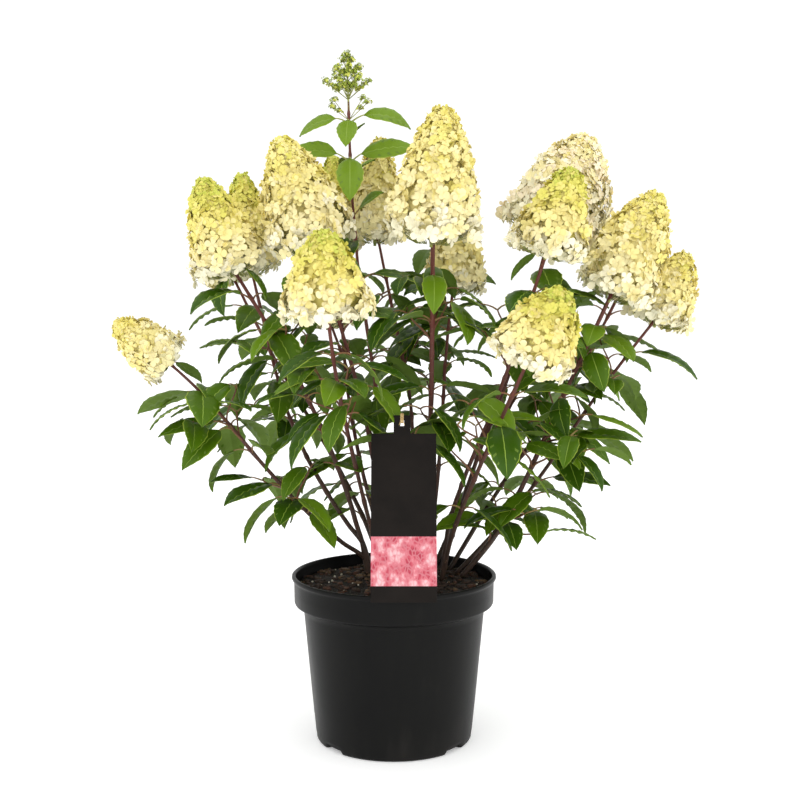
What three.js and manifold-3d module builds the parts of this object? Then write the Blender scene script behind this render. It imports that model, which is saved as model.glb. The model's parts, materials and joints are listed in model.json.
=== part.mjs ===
// Panicle hydrangea shrub in a round nursery pot, with its hanging care tag.
// Millimetres, +Z up. The origin is the centre of the pot's flat underside, and -Y is the side
// that the tag faces. Tall canes rise from the compost, each into one cone-shaped flower head,
// and uneven masses stand for the leaves round the canes.

import * as THREE from 'three';
import { mergeVertices } from 'three/addons/utils/BufferGeometryUtils.js';
import Module from 'manifold-3d';

const wasm = await Module();
wasm.setup();

// ---------------------------------------------------------------- driving dimensions

const GAP = 0.4;                   // clearance between neighbours that touch

const POT_HEIGHT = 210;
const POT_BASE_RADIUS = 100.2;
const POT_WALL_TOP_RADIUS = 115.6; // just under the rim band
const POT_BAND_RADIUS = 127;      // lower edge of the rim band
const POT_LIP_RADIUS = 130;        // rolled lip, 260 across
const POT_BAND_HEIGHT = 36;
const POT_THICKNESS = 2.2;
const POT_FLOOR = 3;
const POT_SEGMENTS = 22;
const NOTCH = { width: 28, depth: 14, height: 8 };
const NOTCH_ANGLES = [50, 130, 230, 310]; // degrees round from the front

const SOIL_TOP = 196;

const TAG = { width: 77, height: 198, thickness: 0.8, lean: 15.5, x: 12, y: -134, z: 205 };
const TAG_NECK = { width: 20, height: 22, offset: -2 };
const TAG_SLOT = { width: 5, height: 7, below: 13 };
const TIE = { width: 3.6, thickness: 1.4, reach: 7.5, rise: 17 };

const CANE_SIDES = 6;
const CANE_RINGS = 6;
const CANE_IN_BLOOM = 6;           // how far a cane's end is let into its flower head
const FOOT_FLARE = 0.2;            // extra girth where a cane leaves the compost

const BLOOM_SIDES = 8;
const BLOOM_LEVELS = [0, 0.2, 0.48, 0.74, 0.92];
const BLOOM_HOLLOW = 0.12;         // height of the dished underside, as part of the length
const BLOOM_UNEVEN = 0.07;

const LEAF_DETAIL = 3;
const LEAF_UNEVEN = 0.24;
const LEAF_DROOP = 0.16;           // how far a mass sinks at its rim, in half heights

const POT_COLOUR = 0x1c1d1f;
const SOIL_COLOUR = 0x2a1c14;
const TAG_COLOUR = 0x24211f;
const TIE_COLOUR = 0xd9c08a;
const YOUNG_CANE = 0x6e2f26;
const OLD_CANE = 0x4a3024;
const GREEN_CANE = 0x7d8f3c;
const LIME_BLOOM = 0xd9dd7a;
const CREAM_BLOOM = 0xf0eabb;
const WHITE_BLOOM = 0xf3ecd8;
const GREEN_BLOOM = 0xa9b84a;
const LEAF_COLOUR = 0x3d6a22;

// Each cane stands on the compost at its foot [x, y], passes its bends [x, y, z], and ends in
// the flower head, whose base and tip are [x, y, z] and whose radius is its widest.
const CANES = [
  { name: 'left', from: [-42, 41, 240], bends: [[-68, 30, 332], [-132, 0, 480]],
    girth: [3.6, 2.1], bloom: { base: [-196, -40, 583], tip: [-230, -45, 704], radius: 50,
      colour: LIME_BLOOM } },
  { name: 'left_back', from: [-40, 43, 236], bends: [[-80, 56, 290], [-134, 72, 390]],
    girth: [3.2, 2], bloom: { base: [-188, 88, 584], tip: [-200, 95, 722], radius: 42,
      colour: LIME_BLOOM } },
  { name: 'far_left', from: [-38, 43, 218], bends: [[-80, 24, 254], [-130, 0, 308], [-245, -18, 448]],
    girth: [3.2, 1.8], bloom: { base: [-273, -20, 476], tip: [-343, -30, 529], radius: 40,
      colour: CREAM_BLOOM } },
  { name: 'front_left', foot: [-12, 4], bends: [[-36, -16, 300], [-66, -110, 460]],
    girth: [3.2, 2.1], bloom: { base: [-73, -168, 533], tip: [-77, -182, 635], radius: 56,
      colour: LIME_BLOOM } },
  { name: 'upper_left', foot: [-2, 30], bends: [[-36, 14, 406], [-60, -6, 500]],
    girth: [3.6, 2.2], bloom: { base: [-92, -30, 613], tip: [-140, -38, 753], radius: 61,
      colour: CREAM_BLOOM } },
  { name: 'inner_left', foot: [-8, 66], bends: [[-58, 104, 400]],
    girth: [3.2, 2], bloom: { base: [-76, 124, 615], tip: [-82, 130, 748], radius: 42,
      colour: LIME_BLOOM } },
  { name: 'leader', foot: [14, 50], bends: [[-20, 46, 420], [-50, 22, 640]],
    girth: [3.4, 1.5], bloom: { base: [-56, 20, 786], tip: [-58, 20, 856], radius: 31,
      colour: GREEN_BLOOM } },
  { name: 'inner_centre', foot: [28, 68], bends: [[22, 84, 420], [8, 92, 490]],
    girth: [3.2, 2], bloom: { base: [-26, 100, 626], tip: [-18, 100, 770], radius: 44,
      colour: CREAM_BLOOM } },
  { name: 'centre', foot: [38, 14], bends: [[46, -6, 420]],
    girth: [4, 2.8], bloom: { base: [44, -80, 619], tip: [59, -88, 785], radius: 60,
      colour: CREAM_BLOOM } },
  { name: 'centre_back', foot: [44, 44], bends: [[60, 62, 358], [68, 80, 490]],
    girth: [3.2, 2], bloom: { base: [76, 92, 560], tip: [92, 100, 690], radius: 45,
      colour: CREAM_BLOOM } },
  { name: 'front_right', foot: [60, 12], bends: [[70, 0, 250], [114, -80, 382]],
    girth: [3.2, 2], bloom: { base: [147, -168, 482], tip: [190, -184, 571], radius: 53,
      colour: LIME_BLOOM } },
  { name: 'right', foot: [62, 34], bends: [[72, 26, 280], [128, -12, 430]],
    girth: [3.3, 2.2], bloom: { base: [180, -60, 604], tip: [212, -68, 713], radius: 55,
      colour: LIME_BLOOM } },
  { name: 'right_tall', foot: [60, 58], bends: [[108, 86, 340], [158, 100, 470]],
    girth: [3.4, 2.1], bloom: { base: [200, 112, 630], tip: [258, 120, 774], radius: 75,
      colour: WHITE_BLOOM } },
  { name: 'right_outer', foot: [86, 30], bends: [[130, 28, 250], [234, 10, 480]],
    girth: [3.8, 2.4], bloom: { base: [268, 6, 553], tip: [328, 4, 692], radius: 60,
      colour: CREAM_BLOOM } },
  { name: 'far_right', foot: [80, 50], bends: [[164, 58, 288], [268, 60, 438]],
    girth: [3.2, 1.9], bloom: { base: [338, 66, 520], tip: [378, 70, 618], radius: 48,
      colour: CREAM_BLOOM } },
  { name: 'back_left', foot: [-14, 84], bends: [[-60, 118, 300], [-160, 172, 460]],
    girth: [3.2, 2], bloom: { base: [-226, 198, 574], tip: [-256, 212, 704], radius: 46,
      colour: CREAM_BLOOM } },
  { name: 'back_low_left', foot: [8, 86], bends: [[-20, 140, 330]],
    girth: [3.2, 2], bloom: { base: [-96, 220, 512], tip: [-98, 244, 644], radius: 52,
      colour: LIME_BLOOM } },
  { name: 'back_centre', foot: [30, 88], bends: [[50, 150, 380]],
    girth: [3.6, 2.1], bloom: { base: [54, 226, 650], tip: [60, 242, 806], radius: 54,
      colour: CREAM_BLOOM } },
  { name: 'back_low_right', foot: [52, 80], bends: [[104, 140, 300]],
    girth: [3.2, 2], bloom: { base: [196, 222, 450], tip: [220, 248, 562], radius: 50,
      colour: WHITE_BLOOM } },
  { name: 'back_outer_right', foot: [72, 70], bends: [[140, 108, 300], [244, 156, 440]],
    girth: [3.2, 2], bloom: { base: [316, 178, 560], tip: [344, 192, 688], radius: 50,
      colour: LIME_BLOOM } },
];

// The short trunk on the left, from which the three left canes fork.
const TRUNK = { name: 'trunk_left', foot: [-32, 46], top: [-44, 40, 252], girth: [5.6, 4.4] };

// Each mass of leaves has its middle [x, y, z] and its half sizes.
const LEAF_MASSES = [
  { name: 'leaves_left_outer', middle: [-216, -16, 412], half: [72, 60, 54] },
  { name: 'leaves_left_upper', middle: [-140, 14, 508], half: [82, 74, 58] },
  { name: 'leaves_left_low', middle: [-140, -6, 322], half: [74, 64, 56] },
  { name: 'leaves_front_left', middle: [-66, -84, 452], half: [76, 66, 58] },
  { name: 'leaves_centre_upper', middle: [30, -6, 552], half: [70, 66, 58] },
  { name: 'leaves_centre_low', middle: [60, -64, 408], half: [80, 70, 58] },
  { name: 'leaves_right_upper', middle: [162, -6, 528], half: [74, 68, 60] },
  { name: 'leaves_right_outer', middle: [252, 36, 470], half: [76, 66, 62] },
  { name: 'leaves_right_mid', middle: [188, -24, 392], half: [86, 74, 54] },
  { name: 'leaves_right_low', middle: [150, 22, 284], half: [76, 66, 48] },
  { name: 'leaves_leader', middle: [-52, 20, 734], half: [76, 56, 50] },
  { name: 'leaves_back_left', middle: [-136, 140, 420], half: [96, 80, 80] },
  { name: 'leaves_back_centre', middle: [16, 160, 496], half: [86, 74, 76] },
  { name: 'leaves_back_right', middle: [186, 140, 400], half: [94, 78, 78] },
];

// ---------------------------------------------------------------- solids

function toSolid(geometry) {
  const bare = geometry.clone();
  bare.deleteAttribute('normal');
  bare.deleteAttribute('uv');
  const merged = mergeVertices(bare, 1e-3);
  const corners = merged.index.array;
  const triVerts = [];
  for (let i = 0; i < corners.length; i += 3) {
    const [a, b, c] = corners.slice(i, i + 3);
    if (a !== b && b !== c && c !== a) triVerts.push(a, b, c);
  }
  return new wasm.Manifold(new wasm.Mesh({
    numProp: 3,
    vertProperties: new Float32Array(merged.attributes.position.array),
    triVerts: new Uint32Array(triVerts),
  }));
}

function toGeometry(solid) {
  const mesh = solid.getMesh();
  const geometry = new THREE.BufferGeometry();
  geometry.setAttribute('position', new THREE.BufferAttribute(new Float32Array(mesh.vertProperties), 3));
  geometry.setIndex(new THREE.BufferAttribute(new Uint32Array(mesh.triVerts), 1));
  geometry.computeVertexNormals();
  return geometry;
}

function largestBody(solid) {
  const bodies = solid.decompose();
  return bodies.reduce((best, body) => (body.volume() > best.volume() ? body : best));
}

function vector([x, y, z]) {
  return new THREE.Vector3(x, y, z);
}

// A smooth, repeatable unevenness between about -1 and 1 at a point, different for each seed.
function ripple(point, wavelength, seed) {
  const k = (2 * Math.PI) / wavelength;
  const along = Math.sin(k * (point.x + 0.37 * point.y) + 1.7 * seed);
  const across = Math.sin(k * (0.91 * point.y - 0.42 * point.z) + 2.9 * seed);
  const upward = Math.sin(k * (1.13 * point.z + 0.28 * point.x) + 4.3 * seed);
  return (along + across + upward) / 2.2;
}

function eachVertex(geometry, move) {
  const position = geometry.attributes.position;
  const vertex = new THREE.Vector3();
  for (let i = 0; i < position.count; i += 1) {
    vertex.fromBufferAttribute(position, i);
    move(vertex);
    position.setXYZ(i, vertex.x, vertex.y, vertex.z);
  }
  return geometry;
}

// ---------------------------------------------------------------- pot, compost and tag

function potGeometry() {
  const wallTop = POT_HEIGHT - POT_BAND_HEIGHT;
  const inner = POT_THICKNESS;
  const profile = [
    [0, 0],
    [POT_BASE_RADIUS - 10, 0],
    [POT_BASE_RADIUS - 3, 3],
    [POT_BASE_RADIUS, 10],
    [POT_WALL_TOP_RADIUS, wallTop - 4],
    [POT_BAND_RADIUS, wallTop + 1],
    [POT_BAND_RADIUS + 2, POT_HEIGHT - 6],
    [POT_LIP_RADIUS, POT_HEIGHT - 4.5],
    [POT_LIP_RADIUS - 1, POT_HEIGHT],
    [POT_BAND_RADIUS + 2 - inner, POT_HEIGHT],
    [POT_BAND_RADIUS - inner, wallTop + 3 + inner],
    [POT_WALL_TOP_RADIUS - inner, wallTop - 2],
    [POT_BASE_RADIUS - inner, 10],
    [POT_BASE_RADIUS - 4.5, POT_FLOOR],
    [0, POT_FLOOR],
  ];
  const outline = profile.map(([r, z]) => new THREE.Vector2(r, z));
  return new THREE.LatheGeometry(outline, POT_SEGMENTS).rotateX(Math.PI / 2);
}

function notchGeometry(angle) {
  const notch = new THREE.BoxGeometry(NOTCH.width, NOTCH.depth, 2 * NOTCH.height);
  notch.translate(0, -POT_BASE_RADIUS, 0);
  return notch.rotateZ(THREE.MathUtils.degToRad(angle));
}

function potSolid() {
  return NOTCH_ANGLES.reduce(
    (pot, angle) => pot.subtract(toSolid(notchGeometry(angle))),
    toSolid(potGeometry()),
  );
}

function soilSolid() {
  const clear = POT_THICKNESS + GAP;
  const wallTop = POT_HEIGHT - POT_BAND_HEIGHT;
  const profile = [
    [0, POT_FLOOR + GAP],
    [POT_BASE_RADIUS - 8, POT_FLOOR + GAP],
    [POT_BASE_RADIUS - clear - 0.6, 12],
    [POT_WALL_TOP_RADIUS - clear - 0.6, wallTop - 2],
    [POT_BAND_RADIUS - clear - 1, wallTop + 6],
    [POT_BAND_RADIUS - clear - 0.4, SOIL_TOP],
    [0, SOIL_TOP],
  ];
  const outline = profile.map(([r, z]) => new THREE.Vector2(r, z));
  return toSolid(new THREE.LatheGeometry(outline, POT_SEGMENTS).rotateX(Math.PI / 2));
}

function rectanglePath(path, x, y, width, height) {
  path.moveTo(x - width / 2, y);
  path.lineTo(x + width / 2, y);
  path.lineTo(x + width / 2, y + height);
  path.lineTo(x - width / 2, y + height);
  path.closePath();
  return path;
}

// The tag leans back from the lip of the pot: its outline is drawn in its own plane.
function placeOnTag(geometry) {
  geometry.rotateX(Math.PI / 2);
  geometry.rotateX(THREE.MathUtils.degToRad(-TAG.lean));
  return geometry.translate(TAG.x, TAG.y, TAG.z);
}

// With grow, the tag's outline and thickness are that much larger all round, and it has no slot.
function tagSolid(grow) {
  const side = TAG.width / 2 + grow;
  const shoulder = TAG.height + grow;
  const neckLeft = TAG_NECK.offset - TAG_NECK.width / 2 - grow;
  const neckRight = TAG_NECK.offset + TAG_NECK.width / 2 + grow;
  const top = TAG.height + TAG_NECK.height;
  const corners = [
    [-side, -grow],
    [side, -grow],
    [side, shoulder],
    [neckRight, shoulder],
    [neckRight, top + grow],
    [neckLeft, top + grow],
    [neckLeft, shoulder],
    [-side, shoulder],
  ];
  const outline = new THREE.Shape(corners.map(([x, y]) => new THREE.Vector2(x, y)));
  if (grow === 0) {
    const slotFoot = top - TAG_SLOT.below;
    const slot = new THREE.Path();
    outline.holes.push(
      rectanglePath(slot, TAG_NECK.offset, slotFoot, TAG_SLOT.width, TAG_SLOT.height),
    );
  }
  const depth = TAG.thickness + 2 * grow;
  const plate = new THREE.ExtrudeGeometry(outline, { depth, bevelEnabled: false });
  return toSolid(placeOnTag(plate.translate(0, 0, -depth / 2)));
}

// A flat band that runs through the slot and over the top edge of the neck.
function tieSolid(grow) {
  const reach = TIE.reach + 2 * grow;
  const rise = TIE.rise + 2 * grow;
  const width = TIE.width + 2 * grow;
  const band = rectanglePath(new THREE.Shape(), 0, -grow, reach, rise);
  const inside = new THREE.Path();
  band.holes.push(
    rectanglePath(
      inside,
      0,
      TIE.thickness,
      TIE.reach - 2 * TIE.thickness,
      TIE.rise - 2 * TIE.thickness,
    ),
  );
  const loop = new THREE.ExtrudeGeometry(band, { depth: width, bevelEnabled: false });
  loop.translate(0, 0, -width / 2).rotateY(Math.PI / 2);
  const slotFoot = TAG.height + TAG_NECK.height - TAG_SLOT.below;
  return toSolid(placeOnTag(loop.translate(TAG_NECK.offset, slotFoot + 1, 0)));
}

// ---------------------------------------------------------------- canes

// A tapering limb: a closed cylinder whose rings are moved onto a curve.
function limbGeometry(curve, girth, onSoil, grow) {
  const limb = new THREE.CylinderGeometry(1, 1, 1, CANE_SIDES, CANE_RINGS);
  const frames = curve.computeFrenetFrames(CANE_RINGS);
  return eachVertex(limb, (vertex) => {
    const along = vertex.y + 0.5;
    const ring = Math.round(along * CANE_RINGS);
    const middle = curve.getPointAt(along);
    const flare = onSoil ? FOOT_FLARE * Math.exp(-9 * along) : 0;
    const radius = THREE.MathUtils.lerp(girth[0], girth[1], along) * (1 + flare) + grow;
    const side = frames.normals[ring].clone().multiplyScalar(vertex.x * radius);
    const other = frames.binormals[ring].clone().multiplyScalar(-vertex.z * radius);
    const end = (ring === CANE_RINGS ? grow : 0) - (ring === 0 ? grow : 0);
    vertex.copy(middle).add(side).add(other).addScaledVector(frames.tangents[ring], end);
    if (onSoil && ring === 0) vertex.z = SOIL_TOP + GAP - grow;
  });
}

function canePoints(cane) {
  const base = vector(cane.bloom.base);
  const top = base.clone().lerp(vector(cane.bloom.tip), BLOOM_HOLLOW);
  const axis = top.clone().sub(base).normalize();
  const start = cane.foot
    ? new THREE.Vector3(cane.foot[0], cane.foot[1], SOIL_TOP + GAP)
    : vector(cane.from);
  return [start, ...cane.bends.map(vector), top.addScaledVector(axis, CANE_IN_BLOOM)];
}

function caneSolid(cane, grow) {
  const curve = new THREE.CatmullRomCurve3(canePoints(cane), false, 'centripetal');
  return toSolid(limbGeometry(curve, cane.girth, Boolean(cane.foot), grow));
}

function trunkSolid(grow) {
  const foot = new THREE.Vector3(TRUNK.foot[0], TRUNK.foot[1], SOIL_TOP + GAP);
  const top = vector(TRUNK.top);
  const middle = foot.clone().lerp(top, 0.5).add(new THREE.Vector3(1, 0, 0));
  const curve = new THREE.CatmullRomCurve3([foot, middle, top], false, 'centripetal');
  return toSolid(limbGeometry(curve, TRUNK.girth, true, grow));
}

// ---------------------------------------------------------------- flower heads

// The radius of a flower head at a height between its skirt (0) and its tip (1).
function fullness(level) {
  const cone = (1 - level ** 1.8) ** 0.7;
  const tuckedSkirt = 0.9 + 0.1 * Math.min(1, level / 0.16);
  return cone * tuckedSkirt;
}

function bloomSolid(bloom, seed, grow) {
  const base = vector(bloom.base);
  const axis = vector(bloom.tip).sub(base);
  const length = axis.length();
  const profile = [new THREE.Vector2(0, BLOOM_HOLLOW * length - grow)];
  for (const level of BLOOM_LEVELS) {
    const radius = bloom.radius * fullness(level) + grow;
    profile.push(new THREE.Vector2(radius, level * length - (level === 0 ? grow : 0)));
  }
  profile.push(new THREE.Vector2(0, length + grow));
  const head = new THREE.LatheGeometry(profile, BLOOM_SIDES);
  eachVertex(head, (vertex) => {
    const swell = 1 + BLOOM_UNEVEN * ripple(vertex, 0.9 * length, seed);
    vertex.x *= swell;
    vertex.z *= swell;
  });
  const upright = new THREE.Vector3(0, 1, 0);
  head.applyQuaternion(new THREE.Quaternion().setFromUnitVectors(upright, axis.normalize()));
  return toSolid(head.translate(base.x, base.y, base.z));
}

// ---------------------------------------------------------------- masses of leaves

function leafMassSolid(mass, seed, grow) {
  const [halfX, halfY, halfZ] = mass.half;
  const lump = new THREE.OctahedronGeometry(1, LEAF_DETAIL);
  eachVertex(lump, (vertex) => {
    const swell = 1 + LEAF_UNEVEN * ripple(vertex, 1.5, seed);
    vertex.multiplyScalar(swell);
    const outward = Math.hypot(vertex.x, vertex.y);
    vertex.set(
      vertex.x * (halfX + grow),
      vertex.y * (halfY + grow),
      (vertex.z - LEAF_DROOP * outward ** 2) * (halfZ + grow),
    );
  });
  const [x, y, z] = mass.middle;
  return toSolid(lump.translate(x, y, z));
}

// ---------------------------------------------------------------- assembly

const plant = new THREE.Group();
const placed = [];

function add(name, solid, anchor, look) {
  const geometry = toGeometry(solid).translate(-anchor.x, -anchor.y, -anchor.z);
  const mesh = new THREE.Mesh(geometry, new THREE.MeshStandardMaterial(look));
  mesh.name = name;
  mesh.position.copy(anchor);
  plant.add(mesh);
}

// Keeps a piece's space, with the clearance round it, from whatever is placed after it.
function reserve(makeSolid) {
  const grown = makeSolid(GAP);
  placed.push({ grown, box: grown.boundingBox() });
}

// Cuts a piece round everything placed before it, then adds it at its anchor.
function place(name, makeSolid, anchor, look) {
  const whole = makeSolid(0);
  const box = whole.boundingBox();
  const apart = (other) => [0, 1, 2].some((i) => other.min[i] > box.max[i] || other.max[i] < box.min[i]);
  const near = placed.filter((earlier) => !apart(earlier.box));
  const cut = near.reduce((solid, earlier) => solid.subtract(earlier.grown), whole);
  add(name, largestBody(cut), anchor, look);
  reserve(makeSolid);
}

const origin = new THREE.Vector3();
const tagFoot = new THREE.Vector3(TAG.x, TAG.y, TAG.z);
add('pot', potSolid(), origin, { color: POT_COLOUR, roughness: 0.5, metalness: 0 });
add('soil', soilSolid(), origin, { color: SOIL_COLOUR, roughness: 0.95, metalness: 0 });
add('tag', tagSolid(0), tagFoot, { color: TAG_COLOUR, roughness: 0.55, metalness: 0 });
add('tag_tie', tieSolid(0), tagFoot, { color: TIE_COLOUR, roughness: 0.7, metalness: 0 });
reserve(tagSolid);
reserve(tieSolid);

place(TRUNK.name, trunkSolid, new THREE.Vector3(...TRUNK.foot, SOIL_TOP), {
  color: OLD_CANE,
  roughness: 0.8,
  metalness: 0,
});

for (const cane of CANES) {
  const anchor = canePoints(cane)[0];
  place(`cane_${cane.name}`, (grow) => caneSolid(cane, grow), anchor, {
    color: cane.name === 'leader' ? GREEN_CANE : YOUNG_CANE,
    roughness: 0.7,
    metalness: 0,
  });
}

CANES.forEach((cane, i) => {
  place(`bloom_${cane.name}`, (grow) => bloomSolid(cane.bloom, i + 1, grow), vector(cane.bloom.base), {
    color: cane.bloom.colour,
    roughness: 0.85,
    metalness: 0,
  });
});

LEAF_MASSES.forEach((mass, i) => {
  place(mass.name, (grow) => leafMassSolid(mass, i + 1, grow), vector(mass.middle), {
    color: LEAF_COLOUR,
    roughness: 0.6,
    metalness: 0,
  });
});

export default plant;
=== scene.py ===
"""Looks for the potted panicle hydrangea: bark, leaves, florets, pot, compost and care tag.

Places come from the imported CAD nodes. Metres, +Z up, -Y is the side that the tag faces.
"""

import json
import math
import random

import bpy
import numpy as np
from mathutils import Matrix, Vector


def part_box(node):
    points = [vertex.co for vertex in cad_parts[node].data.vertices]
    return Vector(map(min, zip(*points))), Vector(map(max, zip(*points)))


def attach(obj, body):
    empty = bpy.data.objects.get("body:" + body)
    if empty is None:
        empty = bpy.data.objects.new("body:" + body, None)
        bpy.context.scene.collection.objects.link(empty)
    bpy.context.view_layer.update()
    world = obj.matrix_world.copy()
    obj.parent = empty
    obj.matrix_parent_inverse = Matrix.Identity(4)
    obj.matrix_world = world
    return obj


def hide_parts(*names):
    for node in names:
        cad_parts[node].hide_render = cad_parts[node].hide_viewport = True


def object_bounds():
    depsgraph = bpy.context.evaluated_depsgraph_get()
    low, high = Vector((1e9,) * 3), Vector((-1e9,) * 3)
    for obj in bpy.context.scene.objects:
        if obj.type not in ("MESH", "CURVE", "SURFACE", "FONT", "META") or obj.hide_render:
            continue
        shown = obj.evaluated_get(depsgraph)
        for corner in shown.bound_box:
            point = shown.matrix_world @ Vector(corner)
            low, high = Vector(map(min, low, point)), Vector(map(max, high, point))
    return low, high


MM = 0.001
UP = np.array([0.0, 0.0, 1.0])
GOLDEN_ANGLE = math.pi * (3 - math.sqrt(5))
NEAR_AXIS = 0.1 * MM

# How far the florets have gone from green (0) to white (1), at a head's skirt and at its tip.
RIPENESS = {
    "bloom_lime": (1.16, 0.05),
    "bloom_cream": (1.0, 0.38),
    "bloom_white": (1.10, 0.70),
}

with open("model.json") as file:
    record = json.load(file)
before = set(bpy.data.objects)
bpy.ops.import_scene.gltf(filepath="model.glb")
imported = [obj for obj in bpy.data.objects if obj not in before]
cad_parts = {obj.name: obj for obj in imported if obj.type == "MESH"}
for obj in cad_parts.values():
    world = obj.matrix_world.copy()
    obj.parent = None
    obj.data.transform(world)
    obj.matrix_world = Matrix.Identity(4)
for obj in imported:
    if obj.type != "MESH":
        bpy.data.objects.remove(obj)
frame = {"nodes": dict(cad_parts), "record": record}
cad_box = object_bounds()


# ---- small helpers


def srgb(colour):
    """A colour given as 0 to 255 on screen, as the shader's linear numbers."""
    shares = [channel / 255 for channel in colour]
    return (*(s / 12.92 if s <= 0.04045 else ((s + 0.055) / 1.055) ** 2.4 for s in shares), 1)


def unit(vector):
    return vector / max(np.linalg.norm(vector), 1e-9)


def level_part(vector):
    """The horizontal direction of a vector."""
    return unit(np.array([vector[0], vector[1], 0.0]))


def heading(angle):
    return np.array([math.cos(angle), math.sin(angle), 0.0])


def turned(vector, axis, angle):
    """The vector turned about a unit axis."""
    along = axis * np.dot(axis, vector)
    across = vector - along
    return along + across * math.cos(angle) + np.cross(axis, across) * math.sin(angle)


def any_turn(rng):
    """A random angle, anywhere in a full turn."""
    return rng.uniform(0, 6.28)


def scatter(rng, spread):
    """A random step, about as likely in every direction."""
    return np.array([rng.gauss(0, spread) for _ in range(3)])


def dome(z, angle):
    """The point of a unit ball at a height and a heading."""
    return math.sqrt(max(0.0, 1 - z * z)) * heading(angle) + z * UP


def ease(value):
    value = min(1.0, max(0.0, value))
    return value * value * (3 - 2 * value)


def middle_and_half(node):
    """The middle of a CAD node's box, and half its size along each axis."""
    low, high = (np.array(corner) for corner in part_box(node))
    return (low + high) / 2, (high - low) / 2


class Sheaf:
    """Small shapes gathered into one mesh, with a finish number for every face."""

    def __init__(self):
        self.points = []
        self.faces = []
        self.finishes = []
        self.count = 0

    def add(self, points, faces, finish):
        """Add points (n, 3), faces as lists of point numbers, and one finish or one for each face."""
        self.points.append(np.asarray(points, float).reshape(-1, 3))
        self.faces.extend([[corner + self.count for corner in face] for face in faces])
        self.finishes.extend([finish] * len(faces) if np.isscalar(finish) else list(finish))
        self.count += len(self.points[-1])

    def tube(self, path, radii, sides, finish, ripple=None):
        """Add a closed tube along a path. ripple(ring, side) adds to the radius."""
        path = np.asarray(path, float)
        ways = np.gradient(path, axis=0)
        ways /= np.linalg.norm(ways, axis=1)[:, None]
        side_way = unit(np.cross(ways[0], [0.31, 0.95, 0.05]))
        points = []
        for ring, (middle, way) in enumerate(zip(path, ways)):
            side_way = unit(side_way - way * np.dot(way, side_way))
            other_way = np.cross(way, side_way)
            for side in range(sides):
                angle = 2 * math.pi * side / sides
                out = math.cos(angle) * side_way + math.sin(angle) * other_way
                radius = radii[ring] + (ripple(ring, side) if ripple else 0.0)
                points.append(middle + radius * out)
        self.add(points, closed_rings(len(path), sides), finish)


def add_object(name, data):
    added = bpy.data.objects.new(name, data)
    bpy.context.scene.collection.objects.link(added)
    return added


def show(name, sheaf, materials, slot, nodes=(), smooth=True):
    """Make the sheaf a piece of the object that stands for the given CAD nodes."""
    mesh = bpy.data.meshes.new(name)
    mesh.from_pydata(np.concatenate(sheaf.points).tolist(), [], sheaf.faces)
    for material in materials:
        mesh.materials.append(material)
    mesh.polygons.foreach_set("material_index", sheaf.finishes)
    mesh.polygons.foreach_set("use_smooth", [smooth] * len(mesh.polygons))
    mesh.update()
    piece = add_object(name, mesh)
    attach(piece, "root")
    if nodes:
        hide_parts(*nodes)
    return piece


def ring_faces(rings, sides, closed=True):
    """Faces between rings of points, or between open rows of points."""
    faces = []
    for ring in range(rings - 1):
        for side in range(sides if closed else sides - 1):
            here = ring * sides + side
            after = ring * sides + (side + 1) % sides
            faces.append([here, after, after + sides, here + sides])
    return faces


def flipped(faces):
    return [[face[0], *face[:0:-1]] for face in faces]


def closed_rings(rings, sides):
    """Faces between rings of points, with the first and last ring filled in."""
    last = (rings - 1) * sides
    ends = [list(range(sides))[::-1], list(range(last, last + sides))]
    return ring_faces(rings, sides) + ends


def curve_between(start, start_way, end, end_way, steps):
    """A smooth path that leaves start along start_way and arrives at end along end_way."""
    reach = np.linalg.norm(end - start) / 3
    one = start + unit(start_way) * reach
    two = end - unit(end_way) * reach
    t = np.linspace(0, 1, steps + 1)[:, None]
    left = 1 - t
    return left**3 * start + 3 * left**2 * t * one + 3 * left * t**2 * two + t**3 * end


def lathe(profile, segments, shape=None):
    """Points and faces of a profile of (radius, height) turned about Z.

    shape(angle, index, radius, height) may move each point in or out and up or down.
    """
    points = []
    for index, (radius, height) in enumerate(profile):
        for segment in range(segments):
            angle = 2 * math.pi * segment / segments
            r, z = shape(angle, index, radius, height) if shape else (radius, height)
            points.append([r * math.sin(angle), -r * math.cos(angle), z])
    return np.array(points), ring_faces(len(profile), segments)


# ---- materials


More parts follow.
